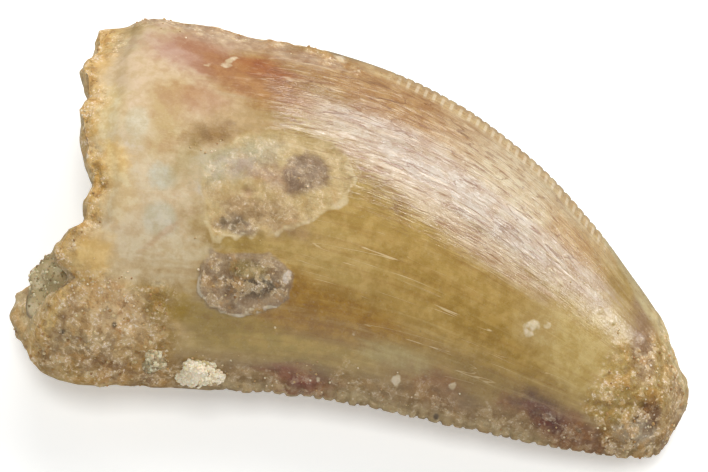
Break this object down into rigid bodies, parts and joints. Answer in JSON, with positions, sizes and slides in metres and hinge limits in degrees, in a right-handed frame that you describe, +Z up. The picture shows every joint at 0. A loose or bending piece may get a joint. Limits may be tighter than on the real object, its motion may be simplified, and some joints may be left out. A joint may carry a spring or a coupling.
{
  "type": "fossil raptor tooth",
  "caption": "Fossil raptor tooth crown with serrated edges, broken base, rock in the pulp cavity and sandstone crumbs, lying on its side.",
  "frame": {"origin": "middle of the flat spot on the lower side that the tooth rests on", "axes": "+X from the broken base to the tip, +Y towards the convex front edge, +Z up from the surface it lies on"},
  "size_m": [0.0195, 0.0118, 0.0053],
  "materials": {
    "tooth": "polished fossil enamel, amber to chalky, rough at the broken base",
    "cavity_rock": "rough grey-green rock",
    "sandstone": "granular pale sandstone"
  },
  "bodies": {
    "root": {"tooth": "tooth", "cavity_fill": "cavity_rock", "sand_crumb": "sandstone", "sand_crumb_small": "sandstone"}
  },
  "joints": []
}
